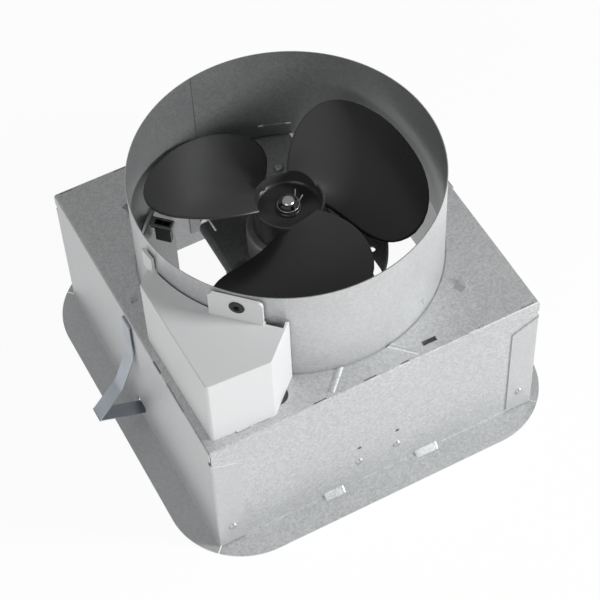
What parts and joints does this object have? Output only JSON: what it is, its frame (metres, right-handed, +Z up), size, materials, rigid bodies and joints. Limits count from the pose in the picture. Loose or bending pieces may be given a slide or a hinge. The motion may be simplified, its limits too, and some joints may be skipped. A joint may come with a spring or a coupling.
{
  "type": "exhaust hood fan",
  "caption": "Square sheet-metal fan housing with a flange, a round duct collar, a bladed fan on a hung motor and a plastic wiring box cover.",
  "frame": {"origin": "middle of the housing's underside, on the fan's axis", "axes": "+Z up along the fan's axis towards the duct, -Y towards the front wall, X across the front"},
  "size_m": [0.3, 0.272, 0.1903],
  "materials": {
    "galvanised_sheet": "satin, fine mottle",
    "zinc_fasteners": "satin",
    "white_plastic": "smooth, slightly matt",
    "black_plastic": "matt",
    "dark_grey_plastic": "soft sheen",
    "die_cast": "cast",
    "lamination_steel": "dull",
    "copper": "enamelled wire",
    "bronze": "sintered",
    "bright_steel": "ground",
    "spring_steel": "zinc plated"
  },
  "bodies": {
    "housing": {"housing_shell": "galvanised_sheet", "left_side_panel": "galvanised_sheet", "right_side_panel": "galvanised_sheet", "duct_collar": "galvanised_sheet", "motor_plate": "galvanised_sheet", "receptacle_panel": "galvanised_sheet", "wiring_partition": "galvanised_sheet", "corner_rivets": "zinc_fasteners", "leg_rivets": "zinc_fasteners", "receptacle_panel_screws": "zinc_fasteners", "ground_screw": "zinc_fasteners", "motor_mounting_screws": "zinc_fasteners", "motor_through_screws": "zinc_fasteners", "wiring_box_cover": "white_plastic", "ear_plug": "black_plastic", "wire_bushing": "black_plastic", "receptacle": "black_plastic", "upper_end_bell": "die_cast", "lower_end_bell": "die_cast", "stator_core": "lamination_steel", "motor_coils": "copper", "shading_rings": "copper", "upper_bearing": "bronze", "lower_bearing": "bronze", "left_strap_anchor": "spring_steel", "right_strap_anchor": "spring_steel"},
    "fan_rotor": {"rotor_core": "lamination_steel", "rotor_end_rings": "die_cast", "motor_shaft": "bright_steel", "thrust_washers": "bright_steel", "fan_propeller": "dark_grey_plastic", "hub_spring_clip": "spring_steel"},
    "left_strap": {"left_strap_leaf": "spring_steel"},
    "right_strap": {"right_strap_leaf": "spring_steel"}
  },
  "joints": [
    {"name": "fan_spin", "type": "hinge", "parent": "housing", "child": "fan_rotor", "pos_m": [0, 0, 0.091], "axis": [0, 0, 1], "continuous": true},
    {"name": "left_strap_flex", "type": "hinge", "parent": "housing", "child": "left_strap", "pos_m": [-0.1191, 0, 0.08], "axis": [0, -1, 0], "range_deg": [0, 9], "stiffness_Nm_per_rad": 3},
    {"name": "right_strap_flex", "type": "hinge", "parent": "housing", "child": "right_strap", "pos_m": [0.1191, 0, 0.08], "axis": [0, 1, 0], "range_deg": [0, 9], "stiffness_Nm_per_rad": 3}
  ]
}
